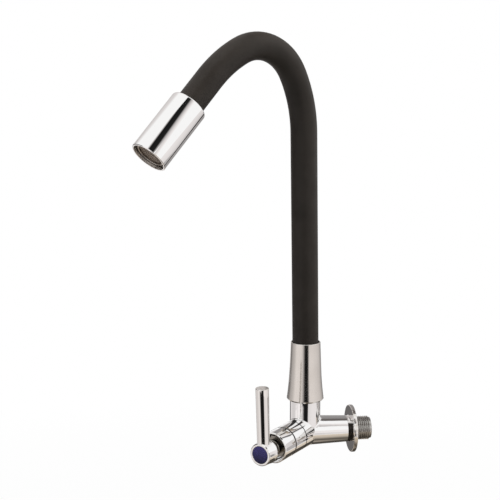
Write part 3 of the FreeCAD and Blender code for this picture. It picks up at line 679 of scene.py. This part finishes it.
# pieces inside, each in its own plain finish
inside = {
    "steel": {
        "dark": (0.46, 0.45, 0.44), "light": (0.58, 0.57, 0.56), "metal": 1.0, "rough": (0.22, 0.38),
        "grain": (900.0, 900.0, 0.3),
        "pieces": ["spindle_clip", "swivel_clip", "handle_screw", "lower_crimp_ring", "upper_crimp_ring"],
    },
    "brass": {
        "dark": (0.60, 0.45, 0.22), "light": (0.74, 0.58, 0.32), "metal": 1.0, "rough": (0.18, 0.34),
        "grain": (700.0, 700.0, 0.3), "pieces": ["swivel_tail"],
    },
    # nickel plating toned dark as painted shade, for pieces that sit in shadow inside the tap
    "nickelPaintedShade": {
        "dark": (0.19, 0.175, 0.15), "light": (0.30, 0.28, 0.25), "metal": 1.0, "rough": (0.16, 0.32),
        "grain": (700.0, 700.0, 0.3), "pieces": ["cartridge_body", "spindle", "hose_connector"],
    },
    "sealRubber": {
        "dark": (0.013, 0.013, 0.013), "light": (0.026, 0.025, 0.024), "rough": (0.45, 0.65),
        "grain": (1500.0, 1500.0, 0.4), "shine": 0.35,
        "pieces": ["seat_seal", "cartridge_o_ring", "spindle_o_rings", "swivel_o_rings", "aerator_washer"],
    },
    "ceramic": {
        "dark": (0.76, 0.74, 0.69), "light": (0.83, 0.81, 0.77), "rough": (0.12, 0.25),
        "grain": (900.0, 900.0, 0.1), "pieces": ["fixed_ceramic_disc", "moving_ceramic_disc"],
    },
    "slidePlastic": {
        "dark": (0.70, 0.70, 0.67), "light": (0.78, 0.78, 0.76), "rough": (0.38, 0.5),
        "grain": (900.0, 900.0, 0.3), "pieces": ["swivel_washer"],
    },
    "corePlastic": {
        "dark": (0.13, 0.115, 0.10), "light": (0.19, 0.17, 0.15), "rough": (0.4, 0.55),
        "grain": (900.0, 900.0, 0.3), "pieces": ["aerator_core"],
    },
}
for name, values in inside.items():
    dress(makeFinish(name, values), *values["pieces"])
print("inner pieces finished")


# the hose's centre line: a plumb start, a slight lean, a straight run and the arch
hoseLine = {
    "foot": (0.0, -0.044, 0.0496),
    "yaw": 30.0,
    "runs": [  # a straight run's length, or a bend's radius and degrees
        ("straight", 0.017),
        ("bend", 0.350, 1.15),
        ("straight", 0.1909),
        ("bend", 0.110, 27.15),
        ("bend", 0.041, 88.0),
        ("bend", 0.111, 20.0),
        ("straight", 0.0567),
    ],
    "nozzleInset": 0.028,
}
hoseYaw = math.radians(hoseLine["yaw"])
level = Vector((math.sin(hoseYaw), -math.cos(hoseYaw), 0.0))
bendAxis = up.cross(level)


def runLength(run):
    return run[1] if run[0] == "straight" else run[1] * math.radians(run[2])


# a turn is how far the line leans over from upright
def hoseDirection(turn):
    return level * math.sin(turn) + up * math.cos(turn)


# the point and the turn further along a run, and a bend's centre
def followRun(point, turn, run, length):
    if run[0] == "straight":
        return point + hoseDirection(turn) * length, turn, None
    centre = point + (level * math.cos(turn) - up * math.sin(turn)) * run[1]
    later = turn + length / run[1]
    return centre + (up * math.sin(later) - level * math.cos(later)) * run[1], later, centre


def hosePoint(distance):
    point, turn = Vector(hoseLine["foot"]), 0.0
    for run in hoseLine["runs"]:
        length = min(distance, runLength(run))
        point, turn, centre = followRun(point, turn, run, length)
        distance -= length
    return point, turn


hoseEnd = sum(runLength(run) for run in hoseLine["runs"])
nozzleTop, nozzleTurn = hosePoint(hoseEnd - hoseLine["nozzleInset"])
nozzleAxis = hoseDirection(nozzleTurn)
shortestRun = 0.0000001  # metres; less than this is no run


# extrudes what is selected along the line, and returns how far along each ring lies
def sweepAlongHose(start, end, spacing):
    point, turn = hosePoint(start)
    rings, runStart = [start], 0.0
    for run in hoseLine["runs"]:
        runEnd = runStart + runLength(run)
        low, high = max(start, runStart), min(end, runEnd)
        runStart = runEnd
        if high - low <= shortestRun:
            continue
        steps = max(2, round((high - low) / spacing))
        later, laterTurn, centre = followRun(point, turn, run, high - low)
        if centre is None:
            for i in range(steps):
                bpy.ops.mesh.extrude_region_move(TRANSFORM_OT_translate={"value": (later - point) / steps})
        else:
            bpy.ops.mesh.spin(steps=steps, angle=turn - laterTurn, center=centre, axis=bendAxis)
        rings += [low + (high - low) * (i + 1) / steps for i in range(steps)]
        point, turn = later, laterTurn
    return rings


def selectVertices(piece, chosen):
    bpy.ops.object.mode_set(mode="EDIT")
    bpy.ops.mesh.select_mode(type="VERT")
    bpy.ops.mesh.select_all(action="DESELECT")
    bpy.ops.object.mode_set(mode="OBJECT")
    for vertex in piece.data.vertices:
        vertex.select = chosen(vertex)
    bpy.ops.object.mode_set(mode="EDIT")


# a wound strip shows as a groove that climbs round the tube
def cutStripGroove(piece, values, rings):
    def inGroove(vertex):
        ring = rings[vertex.index // values["sides"]]
        point, turn = hosePoint(ring)
        arm = vertex.co - point
        around = math.atan2(arm.dot(hoseDirection(turn).cross(bendAxis)), arm.dot(bendAxis)) / math.tau
        return (ring / values["pitch"] + around) % 1.0 < values["grooveShare"]

    selectVertices(piece, inGroove)
    bpy.ops.transform.shrink_fatten(value=-values["groove"])
    bpy.ops.object.mode_set(mode="OBJECT")


def hoseTube(name, values, start, end):
    deselectAll()
    point, turn = hosePoint(start)
    bpy.ops.mesh.primitive_circle_add(
        vertices=values["sides"], radius=values["radius"], location=point,
        rotation=hoseDirection(turn).to_track_quat("Z", "Y").to_euler(),
    )
    piece = bpy.context.object
    piece.name = name
    applyTransform()
    startEditing()
    rings = sweepAlongHose(start, end, values["spacing"])
    endEditing()
    if "pitch" in values:
        cutStripGroove(piece, values, rings)
    thicken(piece, values["wall"], -1.0)
    shadeSmooth(values["smooth"])
    piece.data.materials.append(values["finish"])
    return piece


# where the hose bends by hand, as each stretch's two bodies and the part of it that turns
archFoot = Vector((0.0, -0.044, 0.3))
hoseStretches = {
    "lower": {"from": 0.0, "to": 0.125, "bodies": ("spout_base", "hose_lower"),
              "start": (0.0, -0.044, 0.088), "end": (0.0, -0.044, 0.172)},
    "middle": {"from": 0.125, "to": 0.217, "bodies": ("hose_lower", "hose_upper"),
               "start": (0.0, -0.044, 0.180), "end": (0.0, -0.044, 0.259)},
    "arch": {"from": 0.217, "to": hoseEnd, "bodies": ("hose_upper", "spout_head"),
             "start": archFoot + level * 0.022, "end": archFoot + level * 0.088},
}
sleeve = {
    "radius": 0.0115, "wall": 0.0028, "sides": 72, "spacing": 0.003, "smooth": 30.0,
    "finish": makeFinish("blackSilicone", {
        "dark": (0.0150, 0.0120, 0.0096), "light": (0.0215, 0.0176, 0.0145), "rough": (0.42, 0.50),
        "toneSize": 55.0, "hazeSize": 70.0, "grain": (1600.0, 1600.0, 0.5), "shine": 0.2}),
}
gooseneck = {
    "radius": 0.0084, "wall": 0.0016, "sides": 32, "spacing": 0.001, "smooth": 25.0,
    "pitch": 0.004, "groove": 0.0005, "grooveShare": 0.3,
    "finish": makeFinish("stripSteel", {
        "dark": (0.44, 0.43, 0.42), "light": (0.57, 0.56, 0.55), "metal": 1.0, "rough": (0.2, 0.35),
        "hazeSize": 120.0, "grain": (900.0, 900.0, 0.3)}),
}
waterHose = {
    "radius": 0.0056, "wall": 0.0016, "sides": 32, "spacing": 0.006, "smooth": 30.0,
    "finish": makeFinish("hosePlastic", {
        "dark": (0.56, 0.56, 0.51), "light": (0.64, 0.64, 0.59), "rough": (0.4, 0.55), "grain": (900.0, 900.0, 0.2)}),
}
gooseneckNodes = {
    "lower": ("gooseneck_base", "gooseneck_lower"),
    "middle": ("gooseneck_lower", "gooseneck_upper"),
    "arch": ("gooseneck_upper", "gooseneck_head"),
}


def placeOnHose(piece, stretch, slotName, *replaced):
    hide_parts(*replaced)
    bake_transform(piece)


for part, stretch in hoseStretches.items():
    skin = hoseTube("sleeve" + part.capitalize(), sleeve, stretch["from"], stretch["to"])
    placeOnHose(skin, stretch, "black_silicone", "silicone_sleeve_" + part)
    stay = hoseTube("gooseneck" + part.capitalize(), gooseneck, stretch["from"], stretch["to"])
    placeOnHose(stay, stretch, "gooseneck_steel", *gooseneckNodes[part])
    inner = hoseTube("waterHose" + part.capitalize(), waterHose, stretch["from"], stretch["to"])
    placeOnHose(inner, stretch, "water_hose", "water_hose_" + part)
print("hose made,", round(hoseEnd * 1000.0, 1), "mm long")


# nozzle: plain chrome tube whose rims rub, round at its top
nozzle = {
    **chrome, "foot": nozzleTop, "along": nozzleAxis, "rough": (0.018, 0.045),
    "outline": [
        (11.7, 0.0), (13.8, 0.0), *corner((13.8, 0.0), (15.3, 1.5), True, 8), (15.3, 54.6), (14.9, 55.0),
        (13.9, 55.0), (13.9, 3.0), (11.7, 3.0), (11.7, 0.0)],
    "origin": nozzleTop, "axis": nozzleAxis, "edges": [("Along", 0.0006, 0.0009), ("Along", 0.0547, 0.0003)],
    "wearAndHighlightTone": (0.82, 0.80, 0.77), "shadeAndMatte": [("Out", 0.0140, 0.01405)], "shadeAndMatteTone": (0.93, 0.91, 0.885),
    "shadeAndMatteRough": 0.3, "shadeAndMatteHeight": (nozzleTop.z - 0.024, nozzleTop.z - 0.022),
}
addTurned("nozzle", nozzle, "nozzle_housing", "spout_head")
aerator = {
    **chrome, "finishName": "dullPlate", "foot": nozzleTop, "along": nozzleAxis, "rough": (0.3, 0.4),
    # its lighter worn rim line is partly wear and partly a painted highlight
    "light": (0.40, 0.355, 0.32), "dark": (0.30, 0.265, 0.24), "wearAndHighlightTone": (0.42, 0.38, 0.345), "wornRough": 0.3,
    "outline": [
        (11.0, 39.3), (11.95, 39.3), (11.95, 47.2), (12.3, 47.2), (12.3, 52.2), (11.9, 52.6), (10.6, 52.6),
        (10.6, 51.7), (11.0, 51.7), (11.0, 39.3)],
    "origin": nozzleTop, "axis": nozzleAxis, "edges": [("Along", 0.0526, 0.0005)],
}
addTurned("aerator", aerator, "aerator_housing", "spout_head")


# aerator net: wires that pass over and under each other, in a pressed rim
net = {
    "radius": 0.01085, "rimInner": 0.0101, "rimThickness": 0.0004, "pitch": 0.0009, "wire": 0.00011,
    "sides": 6, "at": 0.0514, "cutShare": 0.3, "rimSides": 64, "smooth": 50.0,
    "finish": makeFinish("netSteel", {
        "dark": (0.30, 0.255, 0.225), "light": (0.44, 0.39, 0.35), "metal": 1.0, "rough": (0.25, 0.4),
        "hazeSize": 200.0, "toneSize": 260.0, "grain": (1500.0, 1500.0, 0.3)}),
}


# one way's wires: two that swap over and under, repeated side by side
def netWires(across):
    deselectAll()
    half = math.ceil(net["radius"] / net["pitch"]) * net["pitch"]
    steps = round(2.0 * half / net["pitch"])
    swap = 1.0 if across else -1.0
    bpy.ops.mesh.primitive_circle_add(
        vertices=net["sides"], radius=net["wire"], location=(-half, -half, net["wire"] * swap),
        rotation=(0.0, math.radians(90.0), 0.0),
    )
    wires = bpy.context.object
    wires.name = "netWires"
    applyTransform()
    bpy.ops.object.mode_set(mode="EDIT")
    for first in (swap, -swap):
        for i in range(steps):
            rise = first if i % 2 else -first
            bpy.ops.mesh.extrude_region_move(
                TRANSFORM_OT_translate={"value": (net["pitch"], 0.0, 2.0 * net["wire"] * rise)})
        bpy.ops.mesh.select_all(action="DESELECT")
        if first == swap:
            bpy.ops.mesh.primitive_circle_add(
                vertices=net["sides"], radius=net["wire"],
                location=(-half, -half + net["pitch"], -net["wire"] * swap), rotation=(0.0, math.radians(90.0), 0.0),
            )
    bpy.ops.object.mode_set(mode="OBJECT")
    rows = wires.modifiers.new("rows", "ARRAY")
    rows.use_relative_offset = False
    rows.use_constant_offset = True
    rows.constant_offset_displace = (0.0, 2.0 * net["pitch"], 0.0)
    rows.count = steps // 2 + 1
    applyModifiers(wires)
    if across:
        wires.rotation_euler = (0.0, 0.0, math.radians(90.0))
        applyTransform()
    return wires


# the pressed rim that holds the wires' ends
def netRim():
    deselectAll()
    bpy.ops.mesh.primitive_circle_add(vertices=net["rimSides"], radius=net["radius"])
    rim = bpy.context.object
    startEditing()
    bpy.ops.mesh.extrude_region_move()
    share = net["rimInner"] / net["radius"]
    bpy.ops.transform.resize(value=(share, share, 1.0))
    endEditing()
    thicken(rim, net["rimThickness"], 0.0)
    return rim


def aeratorNet():
    one, other = netWires(False), netWires(True)
    rim = netRim()
    pick(other, one)
    bpy.ops.object.join()
    selectVertices(one, lambda vertex: vertex.co.xy.length > net["rimInner"] + net["cutShare"] * net["pitch"])
    bpy.ops.mesh.delete(type="VERT")
    bpy.ops.mesh.select_all(action="SELECT")
    bpy.ops.mesh.fill_holes(sides=0)
    endEditing()
    pick(rim, one)
    bpy.ops.object.join()
    one.name = "aeratorNet"
    placeAlong(one, nozzleTop + nozzleAxis * net["at"], nozzleAxis, "X")
    shadeSmooth(net["smooth"])
    one.data.materials.append(net["finish"])
    carry(one, "aerator_screen", "spout_head")


aeratorNet()
print("nozzle and aerator net made")


# studio: pale floor, soft lamps, and a tent of white and grey cards that only reflections see
studio = {
    "floorHeight": -0.45,
    "floorSize": 8.0,
    "floorTone": (0.97, 0.97, 0.97),
    "floorRough": 0.85,
    "floorGlow": (0.90, 1.0),
    "floorFade": (0.3, 1.6),
    "skyTone": (1.0, 0.99, 0.98),
    "skyGlow": 0.18,
    "aim": (0.02, -0.09, 0.16),
    "lamps": {
        "keyLamp": {"place": (0.15, -1.1, 0.9), "size": 0.9, "power": 6.0},
        "fillLamp": {"place": (0.35, 1.05, 0.95), "size": 0.8, "power": 17.0},
        "topLamp": {"place": (0.25, 0.0, 1.5), "size": 0.7, "power": 20.0},
    },
}
tent = {
    "centre": (0.01, -0.06, 0.05),
    "reach": 0.9,
    "sides": 96,
    "frontYaw": 82.3,
    "rings": {  # tones as (degrees from the front, tone), from one height to another
        "footRing": {"low": -0.40, "high": -0.17, "tones": [
            (-180, 0.14), (-150, 0.16), (-146, 0.26), (-142, 0.85), (-137, 0.80), (-113, 0.68), (-89, 0.70),
            (-57, 0.88), (-47, 0.80), (-40, 0.52), (-34, 0.12), (-29, 0.01), (18, 0.01), (21, 0.06), (24, 0.66),
            (28, 0.78), (43, 0.82), (60, 0.86), (86, 0.84), (91, 0.60), (96, 0.30), (104, 0.28), (108, 0.42),
            (112, 0.45), (127, 0.47), (135, 0.42), (145, 0.35), (153, 0.15), (165, 0.12), (180, 0.14)]},
        "middleRing": {"low": -0.17, "high": 0.12, "tones": [
            (-180, 1.0), (-160, 0.90), (-145, 0.20), (-132, 0.25), (-116, 0.53), (-92, 0.69), (-72, 0.98),
            (-36, 0.95), (-24, 0.78), (-16, 0.45), (-8, 0.06), (-4, 0.01), (14, 0.01), (19, 0.22), (24, 0.90),
            (32, 0.92), (53, 0.92), (71, 0.87), (85, 0.84), (95, 0.80), (105, 0.77), (113, 0.71), (125, 0.57),
            (135, 0.46), (150, 0.34), (165, 0.30), (180, 0.6)]},
        "sideRing": {"low": 0.12, "high": 0.37, "tones": [
            (-180, 0.60), (-138, 0.66), (-134, 0.05), (-62, 0.04), (-58, 1.0), (130, 1.0), (150, 0.35),
            (180, 0.30)]},
        "upperRing": {"low": 0.37, "high": 0.70, "tones": [
            (-180, 0.60), (-138, 0.66), (-134, 0.05), (-62, 0.04), (-58, 1.0), (31, 1.0), (34, 0.68), (37, 0.78),
            (41, 0.9), (45, 1.0), (125, 1.0), (127, 0.15), (131, 0.15), (133, 0.9), (140, 0.8), (142, 0.10),
            (149, 0.10), (151, 0.35), (180, 0.30)]},
        "highRing": {"low": 0.70, "high": 1.80, "tones": [
            (-180, 0.62), (-130, 0.74), (-112, 1.0), (-14, 1.0), (-8, 0.66), (-2, 0.06), (1, 0.01), (23, 0.015),
            (25, 0.10), (28, 0.40), (32, 0.58), (36, 0.75), (40, 0.9), (44, 1.0), (100, 1.0), (140, 0.8),
            (150, 0.27), (165, 0.30), (180, 0.34)]},
    },
    "tint": (1.0, 0.955, 0.945),
    "tinted": (0.02, 0.99),  # tones between these two take the tint
    "boards": {
        "overBoard": {"place": (-0.415, 0.675, 1.64), "size": (0.87, 1.05), "tone": (0.145, 0.13, 0.125)},
        "underBoardFar": {"place": (-0.38, 0.125, -0.42), "size": (0.64, 0.65), "tone": (0.07, 0.062, 0.052)},
        "underBoardLeft": {"place": (0.0, -0.60, -0.42), "size": (0.50, 0.60), "tone": (0.05, 0.045, 0.04)},
    },
    "underDisc": {
        "height": -0.43, "tint": (1.0, 0.87, 0.72),
        "tones": [(0.0, 0.34), (0.13, 0.32), (0.165, 0.20), (0.19, 0.09), (0.24, 0.15), (0.30, 0.27), (0.35, 0.39),
                  (0.40, 0.50), (0.48, 0.57), (0.57, 0.61), (0.69, 0.67), (0.79, 0.71)],
    },
}


# one where the camera, a reflection or a clear surface sees it, so that only soft light stays dim
def seenDirectly(tree):
    path = addNode(tree, "ShaderNodeLightPath", (-400, 400))
    seen = addNode(tree, "ShaderNodeMath", (-200, 400), operation="MAXIMUM")
    through = addNode(tree, "ShaderNodeMath", (0, 400), operation="MAXIMUM")
    link(tree, path, "Is Camera Ray", seen, 0)
    link(tree, path, "Is Glossy Ray", seen, 1)
    link(tree, seen, 0, through, 0)
    link(tree, path, "Is Transmission Ray", through, 1)
    return through


def addFloor():
    deselectAll()
    bpy.ops.mesh.primitive_plane_add(size=studio["floorSize"], location=(0, 0, studio["floorHeight"]))
    floor = bpy.context.object
    floor.name = "paleFloor"
    material, tree, shader = newMaterial(
        "paleFloor", Base_Color=opaque(studio["floorTone"]), Roughness=studio["floorRough"],
    )
    share = addNode(tree, "ShaderNodeMath", (200, 400), operation="MULTIPLY")
    axis = useGroup(tree, axisPlace, (-300, 700), Origin=studio["aim"], Axis=up)
    fade = addRange(tree, (-100, 700), studio["floorFade"], studio["floorGlow"])
    link(tree, axis, "Out", fade, "Value")
    link(tree, fade, "Result", share, 1)
    white = addNode(tree, "ShaderNodeEmission", (200, 100), Color=(1.0, 1.0, 1.0, 1.0), Strength=1.0)
    mix = addNode(tree, "ShaderNodeMixShader", (450, 200))
    link(tree, seenDirectly(tree), 0, share, 0)
    link(tree, share, 0, mix, 0)
    link(tree, shader, 0, mix, 1)
    link(tree, white, 0, mix, 2)
    link(tree, mix, 0, tree.nodes["Material Output"], "Surface")
    floor.data.materials.append(material)


def addWorld():
    world = bpy.data.worlds.new("studioWorld")
    world.use_nodes = True
    tree = world.node_tree
    dim = tree.nodes["Background"]
    dim.inputs["Color"].default_value = opaque(studio["skyTone"])
    dim.inputs["Strength"].default_value = studio["skyGlow"]
    white = addNode(tree, "ShaderNodeBackground", (200, 100), Color=(1.0, 1.0, 1.0, 1.0), Strength=1.0)
    mix = addNode(tree, "ShaderNodeMixShader", (450, 200))
    link(tree, seenDirectly(tree), 0, mix, 0)
    link(tree, dim, 0, mix, 1)
    link(tree, white, 0, mix, 2)
    link(tree, mix, 0, tree.nodes["World Output"], "Surface")
    bpy.context.scene.world = world


def addLamp(name, values):
    bpy.ops.object.light_add(type="AREA", location=values["place"])
    lamp = bpy.context.object
    lamp.name = name
    lamp.data.size = values["size"]
    lamp.data.energy = values["power"]
    lamp.visible_glossy = False
    lamp.rotation_euler = (Vector(studio["aim"]) - lamp.location).to_track_quat("-Z", "Y").to_euler()


def newCardMaterial(name):
    material = bpy.data.materials.new(name)
    material.use_nodes = True
    tree = material.node_tree
    tree.nodes.remove(tree.nodes["Principled BSDF"])
    glow = addNode(tree, "ShaderNodeEmission", (0, 0), Strength=1.0)
    link(tree, glow, 0, tree.nodes["Material Output"], "Surface")
    return material, tree, glow


# only reflections see a card
def hangCard(card, name, material):
    card.name = name
    card.data.materials.append(material)
    card.visible_camera = False
    card.visible_shadow = False
    card.visible_diffuse = False
    card.visible_transmission = False
    applyTransform()


# tones of a card along a ramp of (position, tone)
def toneRamp(tree, glow, stops, tint):
    ramp = addNode(tree, "ShaderNodeValToRGB", (-300, 0))
    elements = ramp.color_ramp.elements
    lowest, highest = tent["tinted"]
    while len(elements) < len(stops):
        elements.new(0.5)  # each gets its own position next
    for element, (position, tone) in zip(elements, stops):
        element.position = position
        element.color = opaque([tone * share if lowest < tone < highest else tone for share in tint])
    link(tree, ramp, "Color", glow, "Color")
    return ramp


# a ring's tones go by the turn round the tap from the front
def turnRamp(tree, glow, tones):
    coords = addNode(tree, "ShaderNodeTexCoord", (-900, 0))
    facing = addNode(tree, "ShaderNodeMapping", (-700, 0), vector_type="TEXTURE", Location=tent["centre"],
                     Rotation=(0.0, 0.0, math.radians(tent["frontYaw"] - 90.0)))
    circle = addNode(tree, "ShaderNodeTexGradient", (-500, 0), gradient_type="RADIAL")
    ramp = toneRamp(tree, glow, [(turn / 360.0 + 0.5, tone) for turn, tone in tones], tent["tint"])
    link(tree, coords, "Object", facing, "Vector")
    link(tree, facing, "Vector", circle, "Vector")
    link(tree, circle, "Fac", ramp, "Fac")


# the disc's tones go by the reach from its centre
def reachRamp(tree, glow, values):
    axis = useGroup(tree, axisPlace, (-700, 0), Origin=tent["centre"], Axis=up)
    share = addNode(tree, "ShaderNodeMath", (-500, 0), operation="DIVIDE")
    share.inputs[1].default_value = tent["reach"]
    ramp = toneRamp(tree, glow, [(reach / tent["reach"], tone) for reach, tone in values["tones"]], values["tint"])
    link(tree, axis, "Out", share, 0)
    link(tree, share, 0, ramp, "Fac")


def addRing(name, values):
    deselectAll()
    centre = tent["centre"]
    bpy.ops.mesh.primitive_cylinder_add(
        vertices=tent["sides"], radius=tent["reach"], depth=values["high"] - values["low"], end_fill_type="NOTHING",
        location=(centre[0], centre[1], (values["high"] + values["low"]) / 2.0),
    )
    material, tree, glow = newCardMaterial(name)
    turnRamp(tree, glow, values["tones"])
    hangCard(bpy.context.object, name, material)


def addBoard(name, values):
    deselectAll()
    bpy.ops.mesh.primitive_plane_add(size=1.0, location=values["place"])
    bpy.ops.transform.resize(value=(*values["size"], 1.0))
    material, tree, glow = newCardMaterial(name)
    glow.inputs["Color"].default_value = opaque(values["tone"])
    hangCard(bpy.context.object, name, material)


def addDisc(name, values):
    deselectAll()
    bpy.ops.mesh.primitive_circle_add(
        vertices=tent["sides"], radius=tent["reach"], fill_type="NGON",
        location=(tent["centre"][0], tent["centre"][1], values["height"]),
    )
    material, tree, glow = newCardMaterial(name)
    reachRamp(tree, glow, values)
    hangCard(bpy.context.object, name, material)


addFloor()
addWorld()
for name, values in studio["lamps"].items():
    addLamp(name, values)
for name, values in tent["rings"].items():
    addRing(name, values)
for name, values in tent["boards"].items():
    addBoard(name, values)
addDisc("underDisc", tent["underDisc"])
bpy.context.scene.view_settings.view_transform = "Standard"
print("studio set")
